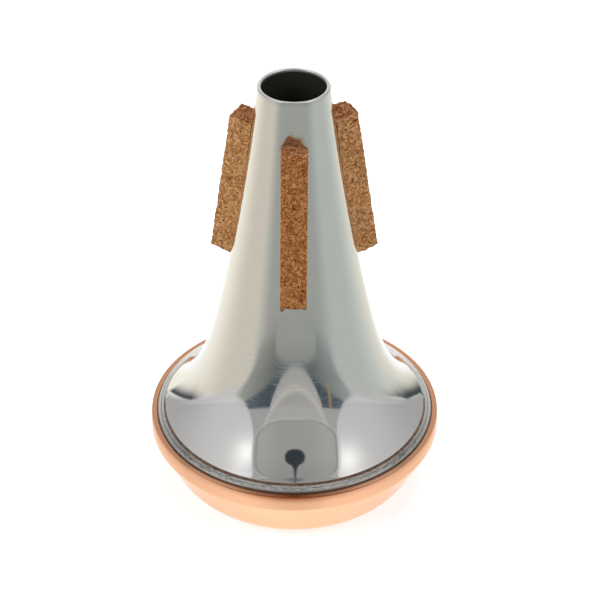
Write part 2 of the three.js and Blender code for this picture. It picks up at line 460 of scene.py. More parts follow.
def coneShell():
    profile, zones = coneProfile()
    waves = np.random.default_rng(21)
    count = cone["chatterSines"]
    counts = waves.integers(*cone["chatterCounts"], count)
    phases = waves.uniform(0, 2 * pi, count)
    twists = waves.uniform(-cone["chatterTwist"], cone["chatterTwist"], count)

    def push(angle, run, ring):
        # The bead's tool marks are a sum of sines round the axis, each sheared along the profile; the mouth
        # wobbles in three sines and is rolled out by a hump
        marks = sum(np.sin(n * angle + p + t * run) for n, p, t in zip(counts, phases, twists)) / 5
        wobble = np.sin(3 * angle + 1.1) + 0.7 * np.sin(7 * angle + 0.4) + 0.4 * np.sin(17 * angle)
        below = overallHeight - ring[:, 1:]
        rolled = hump(below, cone["rollMiddle"], cone["rollWidth"]) * cone["mouthRoll"]
        nearMouth = ramp(*cone["wobbleDepth"], below) * wobble * cone["mouthWobble"]
        return zones["bead"][:, None] * marks * cone["chatter"] + nearMouth + rolled

    piece = turned("spun_cone", profile, cone["segments"], True, push, zones)
    x, y, z = placesOf(piece)
    fromFront = np.degrees(np.abs(np.arctan2(x, -y)))
    # Painted shade: the groove darkens on the front half, and the gap between the bead and the lip all round
    gapShade = np.hypot(x, y) > beadRadius - cone["gapShadeReach"]
    grooveDarkening = np.maximum(ramp(*cone["residueTo"], fromFront), gapShade)
    writeField(piece, "worn", fieldOf(piece, "bead") * ramp(*cone["wornTo"], fromFront))
    writeField(piece, "groove", fieldOf(piece, "groove") * grooveDarkening)
    writeField(piece, "marks", fieldOf(piece, "marks") * ramp(*cone["marksTo"], fromFront))
    writeField(piece, "hair", ramp(*cone["hairFrom"], z))
    # The film of glue: as wide as the cork, and it ends above in uneven strokes
    strokes = cloudNoise(np.stack([x, 0 * x, 0 * x], -1), cone["strokeWidth"], 61) * cone["strokeHeight"]
    film = hump(x, 0, np.interp(z, cone["filmHeights"], cone["filmWidths"]), 6)
    film = film * ramp(*cone["filmEnd"], z + strokes - cone["filmTop"])
    writeField(piece, "smear", film * ramp(*cone["filmFoot"], z) * (y < 0))
    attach(piece, "root")
    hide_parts("cone_shell")
    return piece


# Copper cup: flat base, rounded corner, slanted side, crease, straight wall and turned-in lip

def cupProfile():
    angle = radians(cup["sideAngle"])
    quarter = cup["sideAngle"] / 90
    corner = cup["bowlCorner"]
    sheet = cup["sheet"]
    flat = flatRadius()
    step = cup["creaseStep"]
    creaseZ = cup["bowlHeight"]
    edge = cup["lipEdgeRound"]
    across, up = cup["lipRound"]
    crestZ = cupHeight - cup["lipTop"]
    lipEdgeZ = crestZ - cup["lipDrop"]
    lipEdge = lipRadius + edge
    tangent = (flat + corner * sin(angle), corner * (1 - cos(angle)))
    insideTop = (wallRadius, bowlInsideZ(wallRadius))
    profile, spans = joined({
        "floorInside": line((0, sheet), (flat, sheet), 12),
        "cornerInside": arc(flat, corner, corner - sheet, corner - sheet, -1, quarter - 1, 16),
        "wallInside": line(insideTop, (wallRadius, lipUnderZ), 4),
        "lipUnder": line((wallRadius, lipUnderZ), (lipEdge, lipEdgeZ - 2 * edge), 3),
        "lipEdge": arc(lipEdge, lipEdgeZ - edge, edge, edge, 3, 1, 8),
        "lipTop": line((lipEdge, lipEdgeZ), (rimRadius - across, crestZ), 6)[1:],
        "lipRound": arc(rimRadius - across, crestZ - up, across, up, 1, 0, 18),
        "wall": line((rimRadius, crestZ - up), (rimRadius, creaseZ + step), 8)[1:],
        "crease": arc(rimRadius - step, creaseZ + step, step, step, 0, -1, 5),
        "side": line((rimRadius - step, creaseZ), tangent, 16)[1:],
        "corner": arc(flat, corner, corner, corner, quarter - 1, -1, 28),
        "base": line((flat, 0), (0, 0), 12)[1:],
        "middle": np.array([[0, 0]]),
    })
    rolling = ramp(1, 0, np.linspace(-0.3, 1, 19))
    return profile, {"inside": zoneOf(spans, ("floorInside", "lipUnder", 1)),
                     "lip": zoneOf(spans, ("lipEdge", "lipTop", 1), ("lipRound", "lipRound", rolling))}


def baseCup():
    profile, zones = cupProfile()

    def push(angle, run, ring):
        # Two slow waves along the profile and round the axis, only inwards, fading out on the base
        straight, twisted = cup["spinSteps"]
        wave = 0.5 + 0.25 * np.sin(run * straight) + 0.25 * np.sin(2 * angle + run * twisted)
        shown = (1 - zones["inside"][1:-1])[:, None] * ramp(1 * mm, 4 * mm, ring[:, 1:])
        return -shown * wave * cup["spinWave"]

    piece = turned("spun_cup", profile, cup["segments"], False, push, zones, sharp=24)
    x, y, z = placesOf(piece)
    away = np.degrees(np.arctan2(x, -y))
    # Painted reflection: the lip darkens round the front, where it mirrors the dark bead and flare of the
    # cone
    writeField(piece, "lipFrontShade", fieldOf(piece, "lip") * hump(away, 0, cup["lipFrontShadeSpan"]))
    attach(piece, "root")
    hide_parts("base_cup")
    return piece


# Cork strips: pressed granules, cut square, crumbled at the edges, the back fitted to the cone

cork = {
    "width": 0.97 * (corkHigh.x - corkLow.x),  # a little is lost at the cut edges
    "thickness": 8.4 * mm,
    "topZ": 149.5 * mm,
    "bottomZ": 93.2 * mm,
    "spread": 117,  # degrees from the front strip to each side strip
    "edgeRound": 0.3 * mm,
    "glueLine": 0.03 * mm,
    "backLift": 0.4,  # how nearly flat the back is, from 0 for a snug hollow to 1 for flat
    "mesh": 0.18 * mm,
    "grain": 0.7 * mm,
    "warp": 0.5 * mm,
    "pitDepth": 0.26 * mm,
    "seamDepth": 0.07 * mm,
    "roughDepth": 0.09 * mm,
    "crumble": 0.5 * mm,
    "crumbleReach": 0.7 * mm,  # in from the edges
    "cutWave": 0.7 * mm,  # how far the sawn ends wander
    "bottomRagged": 1.5,  # and how much more the bottom one does
    "bottomSkew": 1.3 * mm,  # how much further down the bottom end reaches at the back
}

# Chips of the top ends: place across (-1 left, 1 right), outwards (0 back, 1 front), width and rise in mm
chips = {
    "front_cork": ((-1, 1, 1.6, -0.9), (1, 1, 1.5, -0.6), (-1, 0, 1.2, -0.7)),
    "left_cork": ((1, 1, 1.9, -0.8), (-0.4, 1, 1.2, -0.3)),
    "right_cork": ((1, 0.2, 2.0, 1.6), (1, 1, 1.3, -0.6), (0, 1, 2.2, 0.7), (-1, 1, 1.2, -0.4)),
}


def boxLattice(counts):
    # The six sides of a box as grids of whole numbers (i, j, k); corners that fall together share one number
    sides = []
    for axis in range(3):
        first, second = [n for n in range(3) if n != axis]
        u, v = np.meshgrid(np.arange(counts[first]), np.arange(counts[second]), indexing="ij")
        for side in (0, counts[axis]):
            quad = np.zeros(u.shape + (4, 3), int)
            order = [(0, 0), (1, 0), (1, 1), (0, 1)]
            if (side == 0) != (axis == 1):
                order = order[::-1]
            for n, (du, dv) in enumerate(order):
                quad[:, :, n, first] = u + du
                quad[:, :, n, second] = v + dv
                quad[:, :, n, axis] = side
            sides.append(quad.reshape(-1, 4, 3))
    cells = np.concatenate(sides).reshape(-1, 3)
    code = cells[:, 0] + (counts[0] + 1) * (cells[:, 1] + (counts[1] + 1) * cells[:, 2])
    where, inverse = np.unique(code, return_index=True, return_inverse=True)[1:]
    return cells[where], inverse.reshape(-1, 4)


def corkStrip(name, node, azimuth, cut=0, slant=0, lean=0):
    # A box lattice across, outwards and along, rounded at its edges, pitted, and laid on the cone; cut raises
    # the top end, slant raises its left edge further, and lean shifts it to the right. A chip lifts or lowers
    # it round a point by a hump
    topZ = cork["topZ"] + cut
    bottom = np.array([coneRadius(cork["bottomZ"]), cork["bottomZ"]])
    top = np.array([coneRadius(topZ), topZ])
    length = np.linalg.norm(top - bottom)
    alongR, alongZ = (top - bottom) / length
    spans = np.array([cork["width"], cork["thickness"], length])
    counts = np.round(spans / cork["mesh"]).astype(int)
    cells, quads = boxLattice(counts)
    place = cells / counts * spans
    place[:, 0] -= spans[0] / 2
    wide, thick, length = spans
    x, y, z = place.T

    # Rounded edges: the point of an inner box nearest to it, plus the radius towards where it was
    low = np.array([-wide / 2, 0, 0])
    high = low + spans
    radius = cork["edgeRound"]
    core = np.clip(place, low + radius, high - radius)
    core[:, 1] = np.clip(y, 0, high[1] - radius)
    away = place - core
    away[:, 1] = np.where(y <= 0, 0, away[:, 1])
    size = np.linalg.norm(away, axis=1, keepdims=True)
    normal = away / np.maximum(size, 1e-9)
    shaped = np.where(size > 0, core + normal * radius, place)

    # Granules in warped space, with broken seams, pits, flecks and fine roughness
    salt = int(azimuth) % 97
    field = shaped + np.array([0.031, 0.017, 0.0]) * (1 + salt)

    def cloudy(points, size, number):
        return cloudNoise(points, size * mm, salt + number)

    warp = np.stack([cloudy(field, 1.3, 50 + n) - 0.5 for n in range(3)], -1) * 2 * cork["warp"]
    warped = field + warp
    nearest, second, number = grains(warped * [1, 1, 0.85], cork["grain"], salt)
    torn = ramp(0.3, 0.6, cloudy(field, 0.8, 7))
    seam = torn * (1 - ramp(0.02 * mm, 0.24 * mm, second - nearest))
    small = ramp(0.75, 0.86, cloudy(warped * [1, 1, 0.8], 0.5, 11))
    large = ramp(0.85, 0.91, cloudy(field + 0.5 * warp, 1.1, 17))
    pit = np.clip(0.7 * small + large, 0, 1)
    fleck = ramp(0.68, 0.82, cloudy(warped, 0.55, 29)) * (1 - pit)
    rough = cloudy(field, 0.45, 23) - 0.5 + 0.4 * (number - 0.5)

    # Distance to the nearest edge is the second smallest distance to a side; the glued side isn't counted
    sides = np.stack([x - low[0], high[0] - x, high[1] - y, z, length - z], -1)
    nearEdge = hump(np.sort(sides, axis=1)[:, 1], 0, cork["crumbleReach"])
    broken = ramp(0.55, 0.85, cloudy(field, 2.1, 31))
    crumbs = ramp(0.3, 0.8, cloudy(field, 0.85, 37))
    loss = nearEdge * (0.05 + 0.4 * crumbs + 0.9 * broken) * cork["crumble"]
    depth = cork["pitDepth"] * pit + cork["seamDepth"] * seam + loss - cork["roughDepth"] * rough
    shaped = shaped - normal * (depth * ramp(0, 1.2 * mm, y))[:, None]

    # The sawn ends wander up and down about the cut, and the top one is slanted and chipped
    ended = np.abs(2 * z / length - 1) ** 24
    slow = cloudy(field * [1, 1, 0] + [0, 0, 0.1], 3.2, 41) - 0.5
    fast = cloudy(field * [1, 1, 0] + [0, 0, 0.2], 1.1, 43) - 0.5
    atTop = z > length / 2
    wander = np.where(atTop, 1, -cork["bottomRagged"]) * cork["cutWave"]
    shaped[:, 2] += ended * (slow + 0.7 * fast) * wander
    shaped[:, 2] -= ended * ~atTop * (1 - y / thick) * cork["bottomSkew"]
    for across, outwards, width, rise in chips[name]:
        away = np.hypot(x - across * wide / 2, y - outwards * thick)
        shaped[:, 2] += ended * atTop * rise * mm * hump(away, 0, width * mm)
    shaped[:, 2] += z / length * (0.5 - x / wide) * slant

    # The back follows the cone: how far out the cone's side lies from the chord, found by three corrections
    across, outwards, along = shaped.T
    across = across + lean * (2 * along / length - 1)
    seat = np.zeros(len(shaped))
    for n in range(3):
        side = coneRadius(bottom[1] + along * alongZ - seat * alongR) + cork["glueLine"]
        hollow = np.sqrt(np.maximum(side ** 2 - across ** 2, 0))
        seat = (mix(hollow, side, cork["backLift"]) - bottom[0] - along * alongR) / alongZ
    out = mix(seat, thick, outwards / thick)
    r = bottom[0] + along * alongR + out * alongZ
    height = bottom[1] + along * alongZ - out * alongR
    turn = radians(azimuth)
    points = np.stack([r * cos(turn) - across * sin(turn), r * sin(turn) + across * cos(turn), height], -1)
    fields = {
        "grainTone": number,
        "fleck": fleck,
        "seam": seam,
        "pit": np.clip(pit + 0.15 * nearEdge * broken, 0, 1),
        "cutEnd": (np.minimum(z, length - z) <= 0).astype(float),
        "outerFace": ramp(thick - 0.7 * mm, thick, y),
    }
    piece = meshOf(name, points, quads, (), fields)
    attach(piece, "root")
    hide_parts(node)
    return piece


conePiece = coneShell()
print("cone:", len(conePiece.data.polygons), "faces")
cupPiece = baseCup()
print("cup:", len(cupPiece.data.polygons), "faces")
corkPieces = [
    corkStrip("front_cork", "cork_front", -90, cut=-0.2 * mm, slant=1.7 * mm, lean=0.25 * mm),
    corkStrip("left_cork", "cork_left", -90 - cork["spread"], cut=-0.2 * mm),
    corkStrip("right_cork", "cork_right", -90 + cork["spread"], cut=1.1 * mm),
]
print("corks:", [len(piece.data.polygons) for piece in corkPieces], "faces")


# Nodes

white = (1, 1, 1, 1)


def setInputs(tree, node, inputs):
    for key, value in inputs.items():
        if isinstance(value, bpy.types.NodeSocket):
            tree.links.new(value, node.inputs[key])
        else:
            node.inputs[key].default_value = value


def addNode(tree, kind, settings=None, inputs=None):
    made = tree.nodes.new("ShaderNode" + kind)
    for key, value in (settings or {}).items():
        setattr(made, key, value)
    setInputs(tree, made, inputs or {})
    return made


def sums(tree, operation, *values):
    return addNode(tree, "Math", {"operation": operation}, dict(enumerate(values))).outputs[0]


def times(tree, first, second):
    return sums(tree, "MULTIPLY", first, second)


def largest(tree, value, *others):
    for other in others:
        value = sums(tree, "MAXIMUM", value, other)
    return value


def vectors(tree, operation, inputs, output=0):
    return addNode(tree, "VectorMath", {"operation": operation}, inputs).outputs[output]


def noise(tree, vector, scale, detail):
    inputs = {"Vector": vector, "Scale": scale, "Detail": detail}
    return addNode(tree, "TexNoise", None, inputs).outputs["Fac"]


def remap(tree, value, fromLow, fromHigh, toLow=0.0, toHigh=1.0):
    settings = {"interpolation_type": "SMOOTHSTEP"}
    inputs = {"Value": value, "From Min": fromLow, "From Max": fromHigh, "To Min": toLow, "To Max": toHigh}
    return addNode(tree, "MapRange", settings, inputs).outputs["Result"]


def blended(tree, factor, first, second, kind="MIX"):
    settings = {"data_type": "RGBA", "blend_type": kind}
    return addNode(tree, "Mix", settings, {0: factor, 6: first, 7: second}).outputs[2]


def bumped(tree, height, distance, strength=1.0, over=None):
    inputs = {"Strength": strength, "Distance": distance, "Height": height}
    if over is not None:
        inputs["Normal"] = over
    return addNode(tree, "Bump", None, inputs).outputs[0]


def attribute(tree, name):
    return addNode(tree, "Attribute", {"attribute_name": name}).outputs["Fac"]


def placeOf(tree):
    return addNode(tree, "TexCoord").outputs["Object"]


def newGroup(name, inputs, outputs):
    tree = bpy.data.node_groups.new(name, "ShaderNodeTree")
    for label, start in inputs.items():
        socket = tree.interface.new_socket(name=label, in_out="INPUT", socket_type="NodeSocketFloat")
        socket.default_value = start
    for label in outputs:
        tree.interface.new_socket(name=label, in_out="OUTPUT", socket_type="NodeSocketFloat")
    return tree, tree.nodes.new("NodeGroupInput").outputs, tree.nodes.new("NodeGroupOutput")


groupLook = {
    "lineDetail": 2.0,
    "bandDetail": 1.0,
    "bandScale": (0.5, 0.5, 0.16),  # bands are this much slower than the lines: round the axis and along
    "cloudDetail": 3.0,
}


def turnedLinesGroup():
    # Lines round the axis: noise read at (cos a, sin a) times the streak number and at the run along the
    # profile times the line number, so that each line is long and thin and closes on itself
    tree, given, result = newGroup("turnedLines", {"Lines per mm": 3.0, "Streaks": 6.0}, ["Lines", "Bands"])
    flat = vectors(tree, "MULTIPLY", {0: placeOf(tree), 1: (1, 1, 0)})
    outwards = vectors(tree, "NORMALIZE", {0: flat})
    streaked = vectors(tree, "SCALE", {0: outwards, "Scale": given["Streaks"]})
    count = times(tree, times(tree, attribute(tree, "run"), 1 / mm), given["Lines per mm"])
    up = addNode(tree, "CombineXYZ", None, {"Z": count}).outputs[0]
    vector = vectors(tree, "ADD", {0: streaked, 1: up})
    slow = vectors(tree, "MULTIPLY", {0: vector, 1: groupLook["bandScale"]})
    setInputs(tree, result, {"Lines": noise(tree, vector, 1.0, groupLook["lineDetail"]),
                             "Bands": noise(tree, slow, 1.0, groupLook["bandDetail"])})
    return tree


def cloudsGroup():
    # Soft clouds of a given size in millimetres, used for haze, handling marks and drifts of colour
    tree, given, result = newGroup("clouds", {"Size in mm": 10.0, "Low": 0.4, "High": 0.7}, ["Clouds"])
    scale = sums(tree, "DIVIDE", 1 / mm, given["Size in mm"])
    shown = noise(tree, placeOf(tree), scale, groupLook["cloudDetail"])
    setInputs(tree, result, {"Clouds": remap(tree, shown, given["Low"], given["High"])})
    return tree


lineTree = turnedLinesGroup()
cloudTree = cloudsGroup()


def turnedLines(tree, perMillimetre, streaks):
    inputs = {"Lines per mm": perMillimetre, "Streaks": streaks}
    return addNode(tree, "Group", {"node_tree": lineTree}, inputs).outputs


def clouds(tree, size, low, high):
    inputs = {"Size in mm": size, "Low": low, "High": high}
    return addNode(tree, "Group", {"node_tree": cloudTree}, inputs).outputs[0]


def emptyTree(owner):
    owner.use_nodes = True
    owner.node_tree.nodes.clear()
    return owner.node_tree


def newMaterial(name):
    material = bpy.data.materials.new(name)
    tree = emptyTree(material)
    shader = addNode(tree, "BsdfPrincipled")
    addNode(tree, "OutputMaterial", None, {"Surface": shader.outputs[0]})
    return material, tree, shader


# In the looks, lines are lines per mm and streaks round the axis; clouds are size in mm and the noise values
# where they set in and are full; a range is noise values from and to, and what they become

# Polished aluminium: a mirror with fine turning lines, a brushed bead, residue and painted shade in the
# groove, a dull inside darkened as painted shade

aluminium = {
    "polished": (0.885, 0.885, 0.88, 1),
    "lined": (0.86, 0.86, 0.855, 1),
    "bead": (0.66, 0.665, 0.65, 1),
    "beadMark": (0.16, 0.165, 0.155, 1),
    "grooveStainAndShade": (0.215, 0.145, 0.112, 1),
    "grooveDark": (0.15, 0.095, 0.068, 1),
    "smear": (0.48, 0.26, 0.13, 1),
    # near black: the matt inside with painted shade
    "dull": (0.03, 0.028, 0.022, 1),
    "lines": (2.4, 3.5),
    "lineRange": (0.5, 0.75),
    "lineDepth": 0.0012 * mm,
    "scratches": (3.2, 26.0),  # on the bead
    "scratchRange": (0.46, 0.68, 0.42, 1.0),
    "beadDepth": 0.01 * mm,
    "hair": (4.2, 5.5),  # fine scratches that dull the lower cone
    "hairRange": (0.55, 0.72),
    "hairRoughness": 0.17,
    "haze": (14.0, 0.5, 0.8),
    "hazeRoughness": 0.03,
    "blotches": (1.6, 0.4, 0.62),  # in the groove
    "smearShare": 0.6,
    "roughness": 0.05,
    "rough": {"bead": 0.24, "groove": 0.24, "inside": 0.5, "smear": 0.12},  # the least that each layer has
    "covered": {"groove": 0.8, "inside": 0.85, "smear": 0.04},  # how far a layer hides the metal
}


def aluminiumMaterial(look):
    material, tree, shader = newMaterial("polished_aluminium")
    names = ("bead", "groove", "hair", "inside", "marks", "smear", "worn")
    zone = {name: attribute(tree, name) for name in names}

    def layers(key):
        return [times(tree, zone[name], share) for name, share in look[key].items()]

    lines = turnedLines(tree, *look["lines"])["Lines"]
    scratches = turnedLines(tree, *look["scratches"])["Lines"]
    lined = remap(tree, lines, *look["lineRange"])
    colour = blended(tree, lined, look["polished"], look["lined"])
    smeared = times(tree, zone["smear"], look["smearShare"])
    colour = blended(tree, smeared, colour, look["smear"])
    scored = times(tree, remap(tree, scratches, *look["scratchRange"]), zone["marks"])
    marked = blended(tree, scored, look["bead"], look["beadMark"])
    colour = blended(tree, zone["worn"], colour, marked)
    # Brown residue with painted shade in the groove, with darker blotches
    blotches = clouds(tree, *look["blotches"])
    residue = blended(tree, blotches, look["grooveStainAndShade"], look["grooveDark"])
    colour = blended(tree, zone["groove"], colour, residue)
    # The inside: dull metal, darkened to near black as painted shade
    colour = blended(tree, zone["inside"], colour, look["dull"])
    hair = remap(tree, turnedLines(tree, *look["hair"])["Lines"], *look["hairRange"])
    hair = times(tree, times(tree, hair, zone["hair"]), look["hairRoughness"])
    haze = times(tree, clouds(tree, *look["haze"]), look["hazeRoughness"])
    rough = sums(tree, "ADD", sums(tree, "ADD", haze, look["roughness"]), hair)
    fine = bumped(tree, lines, look["lineDepth"])
    carved = times(tree, sums(tree, "SUBTRACT", 1.0, scratches), zone["marks"])
    setInputs(tree, shader, {
        "Base Color": colour,
        "Metallic": sums(tree, "SUBTRACT", 1.0, largest(tree, *layers("covered"))),
        "Roughness": largest(tree, rough, *layers("rough")),
        "Normal": bumped(tree, carved, look["beadDepth"], over=fine),
    })
    return material


# Satin copper: deeper on the pressed lip, with a painted dark reflection on its front, faint turning
# bands and a few dark specks

copper = {
    "bright": (0.92, 0.52, 0.32, 1),
    "deep": (0.88, 0.465, 0.275, 1),
    "lip": (0.78, 0.40, 0.24, 1),
    # painted dark reflection on the front of the lip
    "lipFrontShade": (0.47, 0.13, 0.048, 1),
    "edge": (1.0, 0.93, 0.84, 1),  # at grazing angles
    "dull": (0.25, 0.12, 0.07, 1),
    "roughness": 0.15,
    "bandRoughness": 0.1,  # and how much more in the bands
    "lines": (2.0, 4.0),
    "lineDepth": 0.005 * mm,
    "drift": (9.0, 0.4, 0.7),
    "driftShare": 0.35,
    "specks": (0.8, 0.7, 0.74),
    "speckShare": 0.45,
}


def copperMaterial(look):
    material, tree, shader = newMaterial("satin_copper")
    lines = turnedLines(tree, *look["lines"])
    drift = times(tree, clouds(tree, *look["drift"]), look["driftShare"])
    specks = times(tree, clouds(tree, *look["specks"]), look["speckShare"])
    colour = blended(tree, drift, look["bright"], look["deep"])
    colour = blended(tree, attribute(tree, "lip"), colour, look["lip"])
    # The painted dark reflection on the lip's front
    colour = blended(tree, attribute(tree, "lipFrontShade"), colour, look["lipFrontShade"])
    colour = blended(tree, specks, colour, look["dull"])
    colour = blended(tree, attribute(tree, "inside"), colour, look["dull"])
    setInputs(tree, shader, {
        "Base Color": colour,
        "Metallic": 1.0,
        "Specular Tint": look["edge"],
        "Roughness": sums(tree, "MULTIPLY_ADD", lines["Bands"], look["bandRoughness"], look["roughness"]),
        "Normal": bumped(tree, lines["Lines"], look["lineDepth"]),
    })
    return material


# Cork: light and dark granules of tan, deeper on the outer face and at the sawn ends, with thin
# broken seams, a few brown pits and pale flecks

corkLook = {
    "side": ((0.68, 0.385, 0.18, 1), (0.36, 0.165, 0.056, 1)),  # light and dark granules
    "outer": ((0.475, 0.224, 0.086, 1), (0.225, 0.077, 0.019, 1)),
    "end": ((0.41, 0.205, 0.097, 1), (0.12, 0.038, 0.0085, 1)),
    "seam": (0.60, 0.48, 0.38, 1),  # gains on the granules' colour
    "pit": (0.42, 0.30, 0.20, 1),
    "fleck": (1.22, 1.30, 1.42, 1),
    "fleckShare": 0.7,
    "mottle": (0.42, 0.36, 0.64),
    "mottleShare": 0.5,  # half the tone is the mottle's, half the granule's
    "toneRange": (0.14, 0.86, 1.0, 0.0),
    "drift": (3.5, 0.35, 0.65),
    "driftShare": 0.14,
    "bumpDepth": 0.1 * mm,
    "bumpStrength": 0.6,
    "roughness": 0.9,
    "specular": 0.15,
}


def corkMaterial(look):
    material, tree, shader = newMaterial("pressed_cork")
    outer = attribute(tree, "outerFace")
    end = attribute(tree, "cutEnd")
    light, dark = (blended(tree, end, blended(tree, outer, look["side"][n], look["outer"][n]),
                           look["end"][n]) for n in range(2))
    mottle = clouds(tree, *look["mottle"])
    mottled = times(tree, mottle, look["mottleShare"])
    tone = sums(tree, "MULTIPLY_ADD", attribute(tree, "grainTone"), 1 - look["mottleShare"], mottled)
    granules = remap(tree, tone, *look["toneRange"])
    darker = sums(tree, "MULTIPLY_ADD", clouds(tree, *look["drift"]), look["driftShare"], granules)
    colour = blended(tree, sums(tree, "MINIMUM", darker, 1.0), light, dark)
    fleck = times(tree, attribute(tree, "fleck"), look["fleckShare"])
    colour = blended(tree, fleck, colour, look["fleck"], "MULTIPLY")
    for name in ("seam", "pit"):
        colour = blended(tree, attribute(tree, name), colour, look[name], "MULTIPLY")
    setInputs(tree, shader, {
        "Base Color": colour,
        "Roughness": look["roughness"],
        "Specular IOR Level": look["specular"],
        "Normal": bumped(tree, mottle, look["bumpDepth"], look["bumpStrength"]),
    })
    return material


conePiece.data.materials.append(aluminiumMaterial(aluminium))
cupPiece.data.materials.append(copperMaterial(copper))
corkSurface = corkMaterial(corkLook)
for piece in corkPieces:
    piece.data.materials.append(corkSurface)
print("materials are on")


# Studio: a white floor, a tent that only the metal sees, two soft lamps at the sides and one above

studio = {
    "floorSize": 6.0,
    "floorColour": (0.52, 0.52, 0.52, 1),
    "floorRoughness": 0.9,
    "floorGlow": 0.62,
    # The sheet as the metal sees it. Right under the mute: distances, and light there, then sideways shares,
    # and how much less light there is
    "underGlow": (43 * mm, 52 * mm, 1.12, 1.26),
    "underFall": (0.3, 0.85, 0.0, 0.14),
    # A hand's breadth away: sideways shares and light, and again how much less
    "nearGlow": (0.08, 0.42, 0.85, 1.06),
    "nearFall": (0.55, 0.9, 0.0, 0.14),
    "nearFrom": (55 * mm, 88 * mm),  # distances over which that takes over
    "clearFrom": (105 * mm, 150 * mm),  # and over which the tent shows instead of the sheet
    "tentRadius": 3.0,
    "tentCentre": 60 * mm,
    "tentGrid": (720, 360),  # points round and up
    "tentTop": 89.5,  # degrees
    "worldLight": 0.60,
    "lampAim": (0, 0, 0.08),
    # Place, size and power
    "lamps": {
        "left_lamp": ((-0.75, -0.55, 0.75), 0.6, 6.2),
        "right_lamp": ((0.75, -0.55, 0.75), 0.6, 3.9),
        "top_lamp": ((0.1, 0.35, 1.1), 0.8, 8.0),
    },
}

# What the tent looks like from inside, as linear light; azimuth 0 is the camera's side and grows to the
# right, all angles in degrees. A pair is for the left and the right, or a patch's lower and upper end
tent = {
    "frontFloor": 0.372,
    "sideFloor": (0.59, 0.497),
    "sideFrom": (35, 36),
    "backFloor": (0.94, 0.78),
    "backFrom": (81, 85),
    "farFloor": (1.06, 1.02),
    "wall": (0.575, 0.535),
    "wallEnds": (0.42, 0.405),
    "wallFootGain": 0.07,
    "back": (0.70, 1.06),  # beside the middle, and in the middle
    "backTop": (0.76, 0.45),
    "ceiling": (0.36, 0.86),  # front and back
    "centreTint": (0.965, 1.0, 0.92),
    "sideTint": ((1.08, 1.0, 0.85), (0.945, 1.0, 0.94)),
    "backTint": (1.03, 1.0, 0.88),
    "wallTint": (1.01, 1.0, 0.985),
    # Bright spots on the side walls: azimuth, elevation, half width, half height, gain
    "spots": ((-46, 31, 11, 9.5, 0.42), (-51, 33, 21, 18, 0.12), (-55, 43, 9, 6, 0.12),
              (51, 37, 13.5, 11.5, 0.44), (54, 34, 22, 22, 0.08), (-53, 47.5, 9, 1.5, 0.25)),
    # Top of the sheet's curl: azimuths and elevations
    "curl": ((56, 70, 97, 122, 129), (2, 0.4, -0.4, 0.6, 8)),
    "curlShade": 0.12,
    # Edge of the side walls: elevations and azimuths, how much further out it is on the right, its softness
    "wallEdge": ((-13, -12, -11, -10, -8, -6, -5, -4, -3, -2, 0, 1, 3.6, 6, 10, 15, 20),
                 (48, 50, 51, 53, 58, 63.5, 66, 67.5, 67.5, 65, 57, 54.5, 51, 48.5, 45, 42.5, 41)),
    "wallShift": (0, 1.5),
    "wallSoftness": ((-12, -8, -3, 0, 2, 3), (11, 8, 12, 5, 3, 1.6)),
    "shade": 0.132,
    "shadeRise": (0.0055, 0.0045, 0.0175),  # for each degree inwards and outwards of shadeMiddle, and down
    "shadeMiddle": 20,
    "shadeTint": ((0.955, 1.0, 0.90), (0.90, 1.0, 0.96)),
    "shadeBlue": (0.88, 1.0, 1.04),
    "core": (0.067, 0.085, 0.100),
    "coreFoot": -5.6,
    "coreSlope": 0.19,
    "coreRise": 0.018,
    "pocket": (0.345, 0.28),
    "flank": 0.37,
    "hood": (0.372, 0.41),
    "hoodInside": (0.345, 0.41),
    "hoodTint": (1.025, 1.0, 0.955),
    "hoodRim": 0.50,
    "hoodRimTint": (1.04, 1.0, 0.90),
    "hoodRimWidth": 1.5,
    # Bowed boxes: middle across and up, half width, half height, power, and what 1 of its distance counts
    "pocketBox": (2, -14, 29, 5.4, 3.2, 1),
    "hoodBox": (2, 10, 30.4, 18, 2.5, 30),
    "hoodRimBox": (1.5, 22, 34.5, 25, 2.2, 34.5),
    "cameraBox": (0.5, 34.7, 9.8, 6.3, 2.3, 8),
    "panel": (0.338, 0.30),
    "panelGain": 0.045,  # at its sides
    "panelTint": (1.01, 1.0, 0.965),
    # Across and up: its middle, half sizes of its core, and radii of the corners round that
    "panelShape": ((2, 31), (13.5, 10), (26, 11)),
    "outline": 0.22,
    "stroke": (0.34, 0.24, 0.13),
    "strokePlace": ((-9, 3), (42, 40.5)),
    "strokeWidth": 1.6,
    "cameraDark": (0.036, 0.045, 0.052),
    "stemMiddle": 0.8,
    "stemWidth": ((38, 44, 50), (6.0, 1.6, 1.0)),
    "stemBase": (52.2, 0.9, 9),  # elevation, half height and half width
    "wedge": (0.062, 0.072, 0.078),
    # Top edge, where it starts, thins out and ends, and how deep it is firm and fades, first and last
    "wedges": (
        {"azimuths": (-148, -142, -136, -130, -126, -121, -113, -106),
         "tops": (-5.6, -5.2, -4.6, -3.9, -3.6, -3.2, -3.8, -4.8),
         "reach": (-147, -118, -105), "firm": (1.5, 0.8), "fade": (4.2, 2.6)},
        {"azimuths": (98, 110, 121, 126, 130, 137, 150),
         "tops": (-5, -5, -5, -4.4, -3, -3.8, -3.8),
         "reach": (157, 124, 97), "firm": (2.5, 0.6), "fade": (5.2, 2.4)},
    ),
}


def bowedBox(x, y, middleX, middleY, halfX, halfY, power, gain):
    # Below 0 inside a box with bowed sides: power mean of x and y over their half sizes, less 1, times gain
    x = np.abs((x - middleX) / halfX)
    y = np.abs((y - middleY) / halfY)
    return ((x ** power + y ** power) ** (1 / power) - 1) * gain


def above(values, start):
    # How far values lie above start, and 0 below it
    return np.maximum(values - start, 0)


def within(distance, soft):
    # 1 inside an edge and 0 outside it, where distance is below and above 0
    return ramp(soft, -soft, distance)


def band(values, start, full, last, end):
    # 0 before start, 1 from full to last, 0 after end
    return ramp(start, full, values) * ramp(end, last, values)


